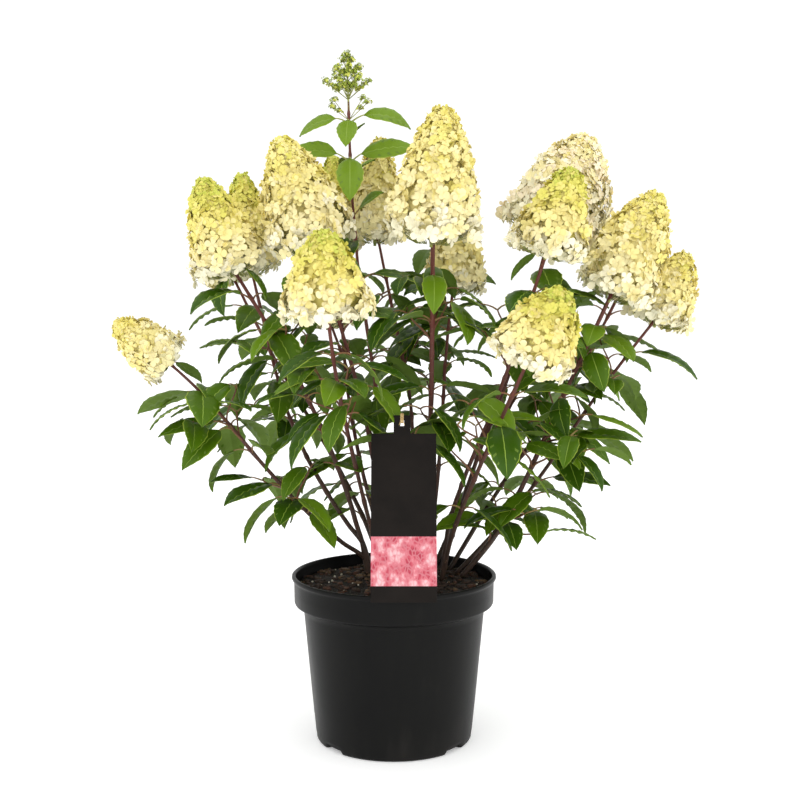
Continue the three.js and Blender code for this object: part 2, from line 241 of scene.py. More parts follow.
class Finish:
    """A material with short ways to add the nodes that this scene uses."""

    def __init__(self, name, colour, roughness, specular=0.5):
        self.material = bpy.data.materials.new(name)
        self.material.use_nodes = True
        self.nodes = self.material.node_tree.nodes
        self.shader = self.nodes["Principled BSDF"]
        self.link = self.material.node_tree.links.new
        look = {"Base Color": srgb(colour), "Roughness": roughness, "Specular IOR Level": specular}
        for place, value in look.items():
            self.shader.inputs[place].default_value = value
        self.place = self.nodes.new("ShaderNodeTexCoord").outputs["Object"]

    def add(self, kind, output, inputs, **settings):
        """A new node with its settings and inputs, each a number or another node's output."""
        node = self.nodes.new("ShaderNode" + kind)
        for name, value in settings.items():
            setattr(node, name, value)
        for place, value in inputs.items():
            if isinstance(value, bpy.types.NodeSocket):
                self.link(value, node.inputs[place])
            else:
                node.inputs[place].default_value = value
        return node.outputs[output]

    def stretched(self, *factors):
        """The place in the object, stretched by these factors along each axis."""
        return self.add("Mapping", "Vector", {"Vector": self.place, "Scale": factors})

    def noise(self, scale, detail=4.0, place=None):
        inputs = {"Vector": place or self.place, "Scale": scale, "Detail": detail}
        return self.add("TexNoise", "Fac", inputs)

    def cells(self, scale, place=None, feature="F1"):
        inputs = {"Vector": place or self.place, "Scale": scale}
        return self.add("TexVoronoi", "Distance", inputs, feature=feature)

    def height(self):
        return self.add("SeparateXYZ", "Z", {"Vector": self.place})

    def ramp(self, value, *stops):
        """Colours at places from 0 to 1 along a value."""
        colour = self.add("ValToRGB", "Color", {"Fac": value})
        stop_list = colour.node.color_ramp.elements
        while len(stop_list) < len(stops):
            stop_list.new(0.5)
        for element, (place, tint) in zip(stop_list, stops):
            element.position = place
            element.color = srgb(tint)
        return colour

    def spread(self, value, *limits):
        """The value moved from one range, low and high, to another."""
        return self.add("MapRange", "Result", dict(enumerate((value, *limits))))

    def mixed(self, share, one, two):
        inputs = {"Factor": share, "A": one, "B": two}
        return self.add("Mix", "Result", inputs, data_type="RGBA")

    def sum(self, one, two, share):
        """one plus two times share."""
        inputs = {0: two, 1: share, 2: one}
        return self.add("Math", "Value", inputs, operation="MULTIPLY_ADD")

    def colour(self, output):
        self.link(output, self.shader.inputs["Base Color"])

    def roughness(self, output):
        self.link(output, self.shader.inputs["Roughness"])

    def bump(self, output, distance, strength):
        inputs = {"Height": output, "Distance": distance, "Strength": strength}
        self.link(self.add("Bump", "Normal", inputs), self.shader.inputs["Normal"])


def leaf_finish(name, colour, roughness):
    """Plain colour and gloss, with the fine net of veins as relief."""
    leaf = Finish(name, colour, roughness, 0.2)
    net = leaf.cells(420, feature="DISTANCE_TO_EDGE")
    leaf.bump(leaf.sum(leaf.noise(160), net, 0.8), 0.0005, 0.35)
    return leaf.material


def floret_finish(name, colour):
    """Plain colour, with the faint creases of a sepal as relief."""
    floret = Finish(name, colour, 0.62, 0.2)
    floret.bump(floret.noise(240), 0.0006, 0.4)
    return floret.material


def bark_finish():
    """Brown at the foot and red-brown above, streaked, with pale breathing pores."""
    bark = Finish("bark", (92, 54, 40), 0.6)
    streaks = bark.noise(260, 6.0, bark.stretched(1, 1, 0.12))
    rise = bark.sum(bark.spread(bark.height(), 0.2, 0.52, -0.12, 0.5), streaks, 0.62)
    browns = (0.10, (44, 31, 22)), (0.34, (66, 44, 30)), (0.58, (84, 44, 34)), (0.80, (104, 50, 40))
    wood = bark.ramp(rise, *browns)
    pores = bark.cells(230, bark.stretched(1, 1, 0.55))
    pore_share = bark.spread(pores, 0.10, 0.17, 0.75, 0.0)
    pale = bark.ramp(streaks, (0.0, (112, 86, 64)), (1.0, (138, 108, 80)))
    bark.colour(bark.mixed(pore_share, wood, pale))
    bark.roughness(bark.spread(streaks, 0.3, 0.7, 0.48, 0.74))
    bark.bump(bark.sum(streaks, pore_share, 0.5), 0.0006, 0.8)
    return bark.material


def twig_finish(name, colour, other):
    """A young stalk, mottled from one colour to the other."""
    twig = Finish(name, colour, 0.5)
    twig.bump(twig.noise(500, 4.0, twig.stretched(1, 1, 0.25)), 0.0003, 0.5)
    twig.colour(twig.ramp(twig.noise(45), (0.35, colour), (0.65, other)))
    return twig.material


def pot_finish():
    """Black moulded plastic: satin, a little paler low down, with a fine grain."""
    pot = Finish("pot_plastic", (12, 12, 12), 0.34, 0.11)
    patches = pot.noise(9, 6.0, pot.stretched(1, 1, 0.5))
    # Paler towards the foot, fading out 5 cm up.
    paler_near_foot = pot.spread(pot.height(), 0.0, 0.05, 0.5, 0.0)
    scuffs = pot.noise(70, 8.0, pot.stretched(1, 1, 0.18))
    wear_and_paler_foot = pot.sum(pot.sum(patches, paler_near_foot, 0.35), scuffs, 0.25)
    pot.colour(pot.ramp(wear_and_paler_foot, (0.45, (9, 9, 9)), (0.75, (15, 15, 14)), (1.0, (34, 32, 30))))
    pot.roughness(pot.spread(wear_and_paler_foot, 0.4, 0.95, 0.30, 0.50))
    pot.bump(pot.sum(pot.noise(1400, 2.0), pot.noise(30, 2.0), 2.0), 0.0002, 0.35)
    return pot.material


def compost_finish():
    soil = Finish("compost", (34, 24, 17), 0.95)
    lumps = soil.noise(120, 8.0)
    browns = (0.30, (12, 8, 6)), (0.52, (28, 19, 12)), (0.66, (46, 32, 21)), (0.80, (68, 48, 32))
    soil.colour(soil.ramp(lumps, *browns))
    soil.roughness(soil.spread(lumps, 0.3, 0.7, 0.85, 1.0))
    soil.bump(soil.sum(lumps, soil.cells(520), 0.6), 0.003, 0.9)
    return soil.material


def chip_finish(name, dark, light, roughness):
    """A bit of bark or grit in the compost, streaked between two colours."""
    chip = Finish(name, dark, roughness)
    grain = chip.noise(420, 5.0, chip.stretched(1, 0.3, 1))
    chip.colour(chip.ramp(grain, (0.3, dark), (0.7, light)))
    chip.bump(grain, 0.0008, 0.7)
    return chip.material


def card_finish():
    """Charcoal coated card with faint fibres."""
    card = Finish("tag_card", (36, 33, 31), 0.42, 0.1)
    fibres = card.noise(700, 6.0, card.stretched(1, 1, 0.4))
    card.colour(card.ramp(card.noise(40, 3.0), (0.3, (18, 14, 11)), (0.7, (25, 20, 17))))
    card.roughness(card.spread(fibres, 0.3, 0.7, 0.36, 0.5))
    card.bump(fibres, 0.0002, 0.4)
    return card.material


def petal_print_finish():
    """A generic printed pattern of overlapping pink petals."""
    ink = Finish("tag_petal_print", (238, 140, 165), 0.4, 0.2)
    swirl = ink.noise(95, 8.0, ink.stretched(1.0, 1.0, 0.7))
    petals = ink.cells(180, ink.stretched(1.3, 1.0, 0.8), "DISTANCE_TO_EDGE")
    pale, rose, deep, dark = (232, 184, 188), (212, 124, 134), (196, 86, 100), (174, 54, 74)
    tint = ink.ramp(swirl, (0.38, pale), (0.46, rose), (0.54, deep), (0.64, dark))
    edge_tint = ink.ramp(swirl, (0.38, (184, 72, 88)), (0.62, (228, 176, 182)))
    ink.colour(ink.mixed(ink.spread(petals, 0.0, 0.2, 0.4, 0.0), tint, edge_tint))
    ink.roughness(ink.spread(swirl, 0.3, 0.7, 0.36, 0.46))
    ink.bump(ink.noise(700, 4.0), 0.0001, 0.4)
    return ink.material


def fibre_finish():
    """Tan twisted fibre."""
    fibre = Finish("tie_fibre", (206, 176, 118), 0.85)
    strands = fibre.noise(900, 3.0, fibre.stretched(1, 1, 0.3))
    fibre.colour(fibre.ramp(strands, (0.3, (168, 134, 82)), (0.7, (224, 198, 142))))
    fibre.bump(strands, 0.0006, 0.8)
    return fibre.material


# ---- reading the CAD


def node_points(node):
    mesh = frame["nodes"][node].data
    points = np.empty(len(mesh.vertices) * 3)
    mesh.vertices.foreach_get("co", points)
    return points.reshape(-1, 3)


def nodes_called(start):
    return sorted(node for node in frame["nodes"] if node.startswith(start))


class Limb:
    """A cane's centre line and girth, from level cuts through its CAD solid."""

    STEP = 5 * MM
    FORK_CUTS = 5

    def __init__(self, node):
        self.node = node
        points = node_points(node)
        mesh = frame["nodes"][node].data
        pairs = np.empty(len(mesh.edges) * 2, dtype=np.int32)
        mesh.edges.foreach_get("vertices", pairs)
        ends = points[pairs.reshape(-1, 2)]
        low = points[:, 2].min() + 0.6 * MM
        high = points[:, 2].max() - 2.5 * MM
        levels = np.linspace(low, high, int((high - low) / self.STEP))
        middles, girths = zip(*(self.cut(ends, z) for z in levels))
        self.path = self.smoothed(np.array(middles))
        self.girths = self.smoothed(np.array(girths))
        self.measure()

    def measure(self):
        gaps = np.linalg.norm(np.diff(self.path, axis=0), axis=1)
        self.lengths = np.concatenate([[0.0], np.cumsum(gaps)])
        self.length = self.lengths[-1]

    def root_in(self, trunk):
        """Runs a forked cane's foot on down into its trunk, in place of its slanted cut end."""
        cut = self.FORK_CUTS
        start = self.path[cut]
        way = unit(self.path[cut + 3] - start)
        low = min(start[2] - 26 * MM, trunk.path[-1][2] - 12 * MM)
        foot, rise, _ = trunk.at(trunk.lengths[int(np.argmin(abs(trunk.path[:, 2] - low)))])
        curve = curve_between(foot, rise + way, start, way, 7)[:-1]
        girth = self.girths[cut + 3] * 1.04
        self.path = np.concatenate([curve, self.path[cut:]])
        self.girths = np.concatenate([[girth] * len(curve), self.girths[cut:]])
        self.girths[: len(curve) + 3] = girth
        self.measure()

    def close_top(self):
        """Rounds a trunk's flat top to a dome among the feet of its canes."""
        self.girths[-4:] *= np.array([0.97, 0.88, 0.68, 0.32])

    @staticmethod
    def cut(ends, z):
        """The middle and the least half width of the solid at one height."""
        low, high = ends[:, 0], ends[:, 1]
        crossing = (low[:, 2] - z) * (high[:, 2] - z) < 0
        low, high = low[crossing], high[crossing]
        share = (z - low[:, 2]) / (high[:, 2] - low[:, 2])
        points = low + (high - low) * share[:, None]
        angles = np.linspace(0, math.pi, 12, endpoint=False)
        least_span = min(np.ptp(points @ heading(angle)) for angle in angles)
        return (points.min(0) + points.max(0)) / 2, least_span / 2

    @staticmethod
    def smoothed(values):
        """Rounds off the kinks between the CAD solid's few rings; the ends stay."""
        for _ in range(14):
            values[1:-1] = (values[:-2] + 2 * values[1:-1] + values[2:]) / 4
        return values

    def at(self, distance):
        """The point, direction and girth at a distance along the cane."""
        point = np.array([np.interp(distance, self.lengths, self.path[:, i]) for i in range(3)])
        near = min(len(self.path) - 2, int(np.searchsorted(self.lengths, distance)))
        way = unit(self.path[near + 1] - self.path[max(near - 1, 0)])
        return point, way, float(np.interp(distance, self.lengths, self.girths))


class Head:
    """A flower head's base, direction, length, widest radius and colour, from its CAD solid."""

    def __init__(self, node, limb):
        self.node = node
        self.slot = next(
            part["material_slot"] for part in frame["record"]["subparts"] if part["node"] == node
        )
        points = node_points(node)
        foot = limb.path[-1]
        tip = points[np.argmax(np.linalg.norm(points - foot, axis=1))]
        self.way = unit(tip - foot)
        heights = (points - foot) @ self.way
        self.base = foot + self.way * heights.min()
        self.length = heights.max() - heights.min()
        off_axis = (points - foot) - np.outer(heights, self.way)
        self.radius = np.percentile(np.linalg.norm(off_axis, axis=1), 97)
        self.side = unit(np.cross(self.way, [0.2, 0.9, 0.1]))
        self.other = np.cross(self.way, self.side)

    def out(self, angle):
        """The direction square to the head's own, at an angle round it."""
        return math.cos(angle) * self.side + math.sin(angle) * self.other

    def at(self, level):
        """The point of the head's middle line at a height from its skirt (0) to its tip (1)."""
        return self.base + self.way * level * self.length

    def inside(self, point):
        """Whether a point lies in the head, less a thin skin."""
        height = np.dot(point - self.base, self.way)
        if not 0 <= height <= self.length:
            return False
        off_axis = np.linalg.norm(point - self.base - self.way * height)
        return off_axis < 0.97 * self.radius * fullness(height / self.length)


def fullness(level):
    """The share of a flower head's widest radius at a height from its skirt (0) to its tip (1)."""
    level = min(max(level, 0.0), 1.0)
    return (1 - level**1.8) ** 0.7 * (0.9 + 0.1 * min(1.0, level / 0.16))


# ---- pot, compost, tag


def make_pot():
    """The pot turned from its profile, in mm, with four notches in the foot."""
    low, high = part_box("pot")
    top = high.z / MM
    lip = (high.x - low.x) / 2 / MM
    base = lip - 29.8
    band = lip - 3.2
    wall_top = lip - 14.4
    step = top - 36
    thick = 2.2
    slope = wall_top - base
    foot = [(-16, 3.2), (-12, 0), (-6, 0), (-2.5, 0.8), (-0.8, 3), (-0.2, 8), (0.4, 12)]
    wall = [(slope * 0.3, 54), (slope * 0.6, 104), (slope - 0.8, step - 12), (slope, step - 5)]
    band_points = [(-8.2, -3), (-4, -1.2), (-0.8, 0.2), (0, 2.2), (0.2, 16), (0.4, 27), (0.8, 29.6)]
    rim = [(-0.8, -5.2), (0, -3.6), (-0.2, -1.4), (-1.4, -0.2), (-3, 0)]
    outside = [(base + r, z) for r, z in foot + wall]
    outside += [(band + r, step + z) for r, z in band_points]
    outside += [(lip + r, top + z) for r, z in rim]
    inside = [(band + 0.8 - thick, top - 0.8), (band + 0.2 - thick, top - 3)]
    inside += [(band - thick, step + 6), (wall_top - thick, step - 3), (base - thick, 12)]
    inside += [(base - 6, 3), (NEAR_AXIS / MM, 3)]
    notch_half = math.asin(14 / base)
    notch_top = 8 * MM

    def notched(angle, index, radius, z):
        """Lifts the foot of the wall into four shallow notches."""
        if index >= len(foot):
            return radius, z
        quarter = (angle - math.radians(50)) % math.radians(180)
        off = min(abs(quarter), abs(quarter - math.radians(80)), abs(quarter - math.radians(180)))
        deep = 1 - ease((off - notch_half) / 0.035 + 0.5)
        return radius, max(z, notch_top * deep + z * (1 - deep))

    profile = [(radius * MM, height * MM) for radius, height in outside + inside]
    sheaf = Sheaf()
    sheaf.add(*lathe(profile, 144, notched), 0)
    sheaf.add(*lathe([(NEAR_AXIS, profile[0][1]), profile[0]], 144), 0)
    show("pot_shell", sheaf, [pot_finish()], "pot_plastic", ["pot"])


def bumpy(x, y, waves, spread):
    """A height that rolls smoothly from place to place."""
    heights = [math.sin(kx * x + ky * y + phase) for kx, ky, phase in waves]
    return spread * sum(rise / (1 + 0.4 * order) for order, rise in enumerate(heights)) / len(waves)


def make_compost():
    """A lumpy sheet with a short skirt, and loose bits of bark and grit lying on it."""
    rng = random.Random(5)
    low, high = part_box("soil")
    top = high.z
    edge = (high.x - low.x) / 2 - 0.4 * MM
    waves = [(rng.uniform(-260, 260), rng.uniform(-260, 260), rng.uniform(0, 6)) for _ in range(9)]

    def surface(x, y):
        rim = ease((math.hypot(x, y) - edge + 14 * MM) / (14 * MM))
        return top + bumpy(x, y, waves, 4.2 * MM) - 2.5 * MM * rim + 0.5 * MM

    sheaf = Sheaf()
    rings = 40
    segments = 110
    points = [[0, 0, surface(0, 0)]]
    shake = 0.6 * MM
    for ring in range(1, rings + 1):
        for segment in range(segments):
            angle = 2 * math.pi * (segment + 0.5 * (ring % 2)) / segments
            r = edge * ring / rings
            x = r * math.sin(angle) + (rng.uniform(-shake, shake) if ring < rings else 0)
            y = -r * math.cos(angle) + (rng.uniform(-shake, shake) if ring < rings else 0)
            points.append([x, y, surface(x, y) + rng.uniform(-0.7, 0.7) * MM])
    faces = [[0, 1 + s, 1 + (s + 1) % segments] for s in range(segments)]
    faces += [[1 + corner for corner in face] for face in flipped(ring_faces(rings, segments))]
    sheaf.add(points, faces, 0)
    skirt = [(edge - 2 * MM, top - 12 * MM), (edge, top - 1.5 * MM)]
    sheaf.add(*lathe(skirt, segments), 0)
    for chip in range(640):
        radius = edge * math.sqrt(rng.random()) * 0.985
        x, y, _ = radius * heading(rng.uniform(0, 2 * math.pi) - math.pi / 2)
        pale = chip % 16 == 0
        size = rng.uniform(1.0, 2.0) * MM if pale else rng.uniform(1.6, 5.2) * MM
        add_chip(sheaf, rng, np.array([x, y, surface(x, y) + 0.3 * size]), size, pale)
    finishes = [
        compost_finish(),
        chip_finish("chip_dark", (30, 20, 14), (62, 42, 28), 0.85),
        chip_finish("chip_red", (58, 34, 22), (88, 54, 34), 0.8),
        chip_finish("chip_tan", (74, 54, 36), (108, 84, 58), 0.85),
        chip_finish("grit_pale", (178, 170, 152), (216, 208, 190), 0.8),
    ]
    show("compost_surface", sheaf, finishes, "compost", ["soil"])


def add_chip(sheaf, rng, middle, size, pale):
    """One angular bit lying on the compost."""
    long_way = heading(any_turn(rng))
    tilt = rng.uniform(-0.4, 0.4)
    side_way = turned(np.cross(UP, long_way), long_way, tilt)
    up_way = np.cross(long_way, side_way)
    stretch = 1.0 if pale else rng.uniform(0.9, 2.2)
    flat = 0.8 if pale else rng.uniform(0.25, 0.6)
    points = []
    for z in (-1, 1):
        for a in range(5):
            angle = 2 * math.pi * a / 5 + rng.uniform(-0.3, 0.3)
            reach = size * rng.uniform(0.75, 1.1) * (0.8 if z > 0 else 1.0)
            along = long_way * reach * stretch * math.cos(angle)
            across = side_way * reach * 0.8 * math.sin(angle)
            points.append(middle + along + across + up_way * flat * size * z * rng.uniform(0.6, 1.0))
    finish = 4 if pale else rng.choice([1, 1, 1, 1, 2, 2, 3])
    sheaf.add(points, closed_rings(2, 5), finish)


def make_tag():
    """The card in its own plane, then leant back as the CAD solid leans."""
    low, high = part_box("tag")
    points = node_points("tag")
    neck = points[points[:, 2] > high.z - 5 * MM]
    lean = math.atan2(high.y - low.y - 0.8 * MM, high.z - low.z)
    tall = (high.z - low.z) / math.cos(lean)
    shoulder = tall - 22 * MM
    middle_x = (low.x + high.x) / 2
    neck_left = neck[:, 0].min() - middle_x
    neck_right = neck[:, 0].max() - middle_x
    neck_middle = (neck_left + neck_right) / 2
    half = (high.x - low.x) / 2
    columns = [-half, neck_left, neck_middle - 2.5 * MM, neck_middle + 2.5 * MM, neck_right, half]
    slot_foot = tall - 13 * MM
    rows = [0, shoulder * 0.095, shoulder * 0.385, shoulder, slot_foot, slot_foot + 7 * MM, tall]
    foot = np.array([middle_x, low.y + 0.4 * MM, low.z])
    rise = np.array([0, math.sin(lean), math.cos(lean)])

    def on_card(x, y, forward=0.0):
        out = np.array([0, -math.cos(lean), math.sin(lean)])
        return foot + np.array([x, 0, 0]) + rise * y + out * forward

    faces = []
    finishes = []
    for face in ring_faces(len(rows), len(columns), closed=False):
        row, column = divmod(face[0], len(columns))
        on_neck = column in (1, 2, 3)
        in_slot = column == 2 and row == 4
        if (row < 3 or on_neck) and not in_slot:
            faces.append(face)
            finishes.append(1 if row == 1 else 0)
    sheaf = Sheaf()
    sheaf.add([on_card(x, y) for y in rows for x in columns], faces, finishes)
    looks = [card_finish(), petal_print_finish()]
    card = show("tag_card_printed", sheaf, looks, "tag_card", ["tag"], smooth=False)
    thicken = card.modifiers.new("thickness", "SOLIDIFY")
    thicken.thickness = 0.8 * MM
    thicken.offset = 0
    soften = card.modifiers.new("soft edges", "BEVEL")
    soften.width = 0.25 * MM
    soften.segments = 2
    make_tie(on_card, neck_middle, slot_foot, tall)


def make_tie(on_card, x, slot_foot, tall):
    """A tan strand from the slot over the top of the neck, with a small knot and two short ends."""
    rng = random.Random(9)
    sheaf = Sheaf()
    front = 1.9 * MM
    corners = [
        (slot_foot + 4.5 * MM, front * 0.3),
        (slot_foot + 5.5 * MM, front),
        (slot_foot + 9.5 * MM, front * 1.2),
        (tall + 0.6 * MM, front * 0.9),
    ]
    behind = [(y, -forward) for y, forward in reversed(corners)]
    corners += [(tall + 1.7 * MM, 0.0)] + behind
    steps = np.arange(0, len(corners) - 1, 0.25)
    places = [np.interp(steps, range(len(corners)), values) for values in zip(*corners)]
    for strand, shift in enumerate((-1.1 * MM, 0.9 * MM)):
        sway = 0.3 * MM * np.sin(2.1 * np.arange(len(steps)) + 3 * strand)
        path = [on_card(*place) for place in zip(x + shift + sway, *places)]
        path.append(on_card(x + shift, *corners[-1]))
        sheaf.tube(path, [0.95 * MM] * len(path), 8, 0, lambda *_: rng.uniform(0, 0.16) * MM)
    knot = on_card(x - 0.2 * MM, slot_foot + 5.2 * MM, 2.1 * MM)
    for turn in range(3):
        way = heading(0.5 * turn - 0.4)
        rise = UP * (turn - 1) * 0.9 * MM
        path = [knot + way * (part * 2.2 * MM) + rise for part in (-1, -0.5, 0, 0.5, 1)]
        sheaf.tube(path, np.array([0.5, 1.1, 1.3, 1.1, 0.5]) * MM, 8, 0)
    for side in (-1, 1):
        end = knot + np.array([side * 3.2, -0.6, -4.6]) * MM
        leave = np.array([side, -0.4, 0.1])
        path = curve_between(knot, leave, end, np.array([0.1 * side, 0, -1]), 5)
        sheaf.tube(path, np.linspace(0.7, 0.35, 6) * MM, 6, 0)
    show("tag_tie_strands", sheaf, [fibre_finish()], "tie_fibre", ["tag_tie"])


# ---- canes

BARK_SIDES = 10


def leaf_joints(limb, rng):
    """The distances along a cane at which pairs of leaves stand, from its top down."""
    joints = []
    distance = limb.length - 16 * MM
    while distance > 60 * MM:
        joints.append(distance)
        distance -= rng.uniform(40, 56) * MM
    return joints


def make_cane(limb, joints, bark):
    """Bark relief on one cane: ridges, and a swollen ring where each pair of leaves stood."""
    rng = random.Random(limb.node)
    phases = [any_turn(rng) for _ in range(BARK_SIDES)]
    swelling = 0.9 * MM
    radii = []
    for distance, girth in zip(limb.lengths, limb.girths):
        swell = sum(math.exp(-(((distance - joint) / (3.4 * MM)) ** 2)) for joint in joints)
        radii.append(girth * 1.03 + swelling * min(1.0, swell))

    def ridge(ring, side):
        ridge_wave = math.sin(phases[side] + 0.55 * ring) + math.sin(phases[-side] + 0.17 * ring)
        return 0.16 * MM * ridge_wave

    sheaf = Sheaf()
    sheaf.tube(limb.path, radii, BARK_SIDES, 0, ridge)
    show(limb.node + "_bark", sheaf, [bark], "bark", [limb.node])


# ---- leaves

LEAF_ROWS = 14
LEAF_ACROSS = np.array([-1, -0.94, -0.5, -0.032, 0.032, 0.5, 0.94, 1])
LEAF_COLUMNS = len(LEAF_ACROSS)
LEAF_TONES = {
    "leaf_deep": ((52, 84, 6), 0.36),
    "leaf_mid": ((72, 104, 8), 0.38),
    "leaf_fresh": ((96, 128, 18), 0.40),
    "leaf_new": ((110, 140, 30), 0.42),
    "leaf_rib": ((138, 164, 66), 0.45),
    "leaf_rim": ((146, 166, 58), 0.45),
    "leaf_back": ((98, 124, 46), 0.6),
}
NEW, RIB, RIM, BACK = 3, 4, 5, 6
COLUMN_TONES = {0: RIM, 3: RIB, 6: RIM}

# Across (-1 to 1) and along (0 to 1) for each point of a leaf, in rows that follow the side veins.
ACROSS, ALONG = np.meshgrid(LEAF_ACROSS, np.linspace(0, 1, LEAF_ROWS + 1))
ALONG = ALONG + 0.15 * np.abs(ACROSS) * np.sin(math.pi * ALONG)
OUTLINE = ALONG**0.7 * np.maximum(1 - ALONG, 0) ** 0.95
OUTLINE = np.maximum(OUTLINE / OUTLINE.max(), 0.02)
VEIN = np.where(np.arange(LEAF_ROWS + 1) % 2 == 0, 1.0, -1.0)[:, None]
TEETH = 1 + 0.035 * VEIN * (np.abs(ACROSS) > 0.9)
FRONT_FACES = ring_faces(LEAF_ROWS + 1, LEAF_COLUMNS, closed=False)
BACK_FACES = [face[::-1] for face in FRONT_FACES]
FACE_COLUMNS = [index % (LEAF_COLUMNS - 1) for index in range(len(FRONT_FACES))]


class Leaf:
    """One arched, folded blade on its stalk."""

    def __init__(self, root, way, length, width, fold, shape, tone):
        self.tone = tone
        pitch, bend, roll = shape
        forward = level_part(way)
        side = turned(np.cross(forward, UP), forward, roll)
        over = np.cross(side, forward)
        slope = pitch - bend * ALONG
        step = np.gradient(np.arange(LEAF_ROWS + 1)) / LEAF_ROWS
        spine_at = np.linspace(0, 1, LEAF_ROWS + 1)
        spine_slope = pitch - bend * spine_at
        run = np.cumsum(np.cos(spine_slope) * step) * length
        lift = np.cumsum(np.sin(spine_slope) * step) * length
        y = np.interp(ALONG, spine_at, run - run[0])
        z = np.interp(ALONG, spine_at, lift - lift[0])
        half = width / 2 * OUTLINE * TEETH
        x = ACROSS * half * math.cos(fold)
        on_rib = np.abs(ACROSS) < 0.1
        rise = np.abs(ACROSS) * half * math.sin(fold)
        rise -= 0.22 * half * ACROSS**4
        rise += 0.022 * length * VEIN * (1 - ACROSS**2) * np.sin(math.pi * ALONG) * 0.7
        rise -= 0.7 * MM * on_rib
        rise += 0.05 * half * np.sin(9 * ALONG + 3 * roll + 2 * (ACROSS > 0)) * ACROSS**2

        def placed(rise):
            """The blade's points, each lifted square to the blade's slope."""
            ahead = y - rise * np.sin(slope)
            up = z + rise * np.cos(slope)
            places = root + x[..., None] * side + ahead[..., None] * forward + up[..., None] * over
            return places.reshape(-1, 3)

        self.front = placed(rise)
        self.back = placed(rise - (0.35 + 0.75 * on_rib) * MM * (np.abs(ACROSS) < 0.99))

    def spots(self):
        """Points of the blade for testing what it would run into."""
        rows = (3, 7, 10, LEAF_ROWS)
        return [self.front[row * LEAF_COLUMNS + column] for row in rows for column in (0, 3, 7)]

    def add_to(self, sheaf):
        finishes = [COLUMN_TONES.get(column, self.tone) for column in FACE_COLUMNS]
        sheaf.add(self.front, FRONT_FACES, finishes)
        sheaf.add(self.back, BACK_FACES, BACK)


PLANT_MIDDLE = np.array([0.02, 0.04, 0])


class Foliage:
    """Grows leaves and their stalks, and keeps them clear of flower heads, tag and each other."""

    def __init__(self, heads, masses):
        self.heads = heads
        self.masses = masses
        self.sheaves = {mass: Sheaf() for mass in masses}
        self.stalks = Sheaf()
        self.middles = []
        low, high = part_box("tag")
        self.tag_low = np.array(low) - np.array([6, 0, 0]) * MM
        self.tag_high = np.array(high) + np.array([6, 12, 6]) * MM
        self.rim_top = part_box("pot")[1].z
        self.low = np.array(cad_box[0]) - 12 * MM
        self.high = np.array(cad_box[1]) + 12 * MM

    def blocked(self, point):
        """Whether a leaf may not reach this point."""
        over_tag = all(self.tag_low[axis] < point[axis] < self.tag_high[axis] for axis in (0, 2))
        return (
            (over_tag and point[1] < self.tag_high[1] - 20 * MM)
            or point[2] < self.rim_top + 38 * MM
            or any(head.inside(point) for head in self.heads)
            or np.any(point < self.low)
            or np.any(point > self.high)
        )

    @staticmethod
    def depth(point, mass):
        """How far out a point is in a mass's box, in box halves."""
        middle, half = middle_and_half(mass)
        return np.linalg.norm((point - middle) / half)

    def inside_mass(self, point):
        return any(self.depth(point, mass) < 1.0 for mass in self.masses)

    def grow(self, rng, point, way, girth, out, size, young=False, shape=None):
        """One leaf from a place on a stem, headed out. False if there's no room for it."""
        stalk = size * rng.uniform(0.20, 0.32)
        if shape is None:
            shape = rng.uniform(-0.5, 0.3), rng.uniform(0.45, 1.15), rng.uniform(-0.45, 0.45)
        leave = unit(out * 0.8 + way * 0.6 + UP * 0.25)
        root = point + out * girth * 0.7
        arrive = unit(out * math.cos(shape[0]) + UP * math.sin(shape[0]))
        base = root + unit(leave + arrive) * stalk
        tone = NEW if young else rng.choice([0, 0, 1, 1, 1, 2])
        width = size * rng.uniform(0.42, 0.52)
        leaf = Leaf(base, out, size, width, rng.uniform(0.12, 0.42), shape, tone)
        if any(self.blocked(spot) for spot in leaf.spots()):
            return False
        middle = leaf.front.mean(0)
        if self.middles and np.linalg.norm(np.array(self.middles) - middle, axis=1).min() < 11 * MM:
            return False
        self.middles.append(middle)
        leaf.add_to(self.sheaves[min(self.masses, key=lambda mass: self.depth(middle, mass))])
        path = curve_between(root, leave, base + arrive * 1.5 * MM, arrive, 4)
        radii = np.linspace(1.25, 0.8, 5) * MM * (0.6 + 0.4 * size / 0.07)
        self.stalks.tube(path, radii, 5, 1 if young else 0)
        return True

    def joint(self, rng, point, way, girth, angle, size):
        """A pair of leaves at one joint of a stem; a leaf without room tries up to four times."""
        outward = level_part(point - PLANT_MIDDLE)
        for turn in range(2):
            out = heading(angle + turn * math.pi + rng.uniform(-0.25, 0.25))
            out = level_part(out + 0.35 * outward)
            for _ in range(4):
                leaf_size = size * rng.uniform(0.86, 1.12)
                if self.grow(rng, point, way, girth, out, leaf_size):
                    break
                out = turned(out, UP, rng.uniform(-0.7, 0.7))


def grow_on_cane(foliage, limb, joints):
    """Pairs of leaves at a cane's joints, each pair turned a quarter from the one above it."""
    rng = random.Random("leaves " + limb.node)
    angle = rng.uniform(0, math.pi)
    for order, distance in enumerate(joints):
        angle += math.pi / 2 + rng.uniform(-0.2, 0.2)
        point, way, girth = limb.at(distance)
        leafy = foliage.inside_mass(point)
        if order > 1 and not leafy and rng.random() < 0.6:
            continue
        size = (58 if order == 0 else 74) * MM * rng.uniform(0.88, 1.12)
        foliage.joint(rng, point, way, girth, angle, size)


# Masses that are thinner or fuller than the rest, by their number of side shoots.
SHOOTS = {
    "leaves_leader": 0,
    "leaves_left_low": 4,
    "leaves_left_outer": 6,
    "leaves_centre_upper": 9,
    "leaves_right_low": 6,
    "leaves_back_centre": 9,
}


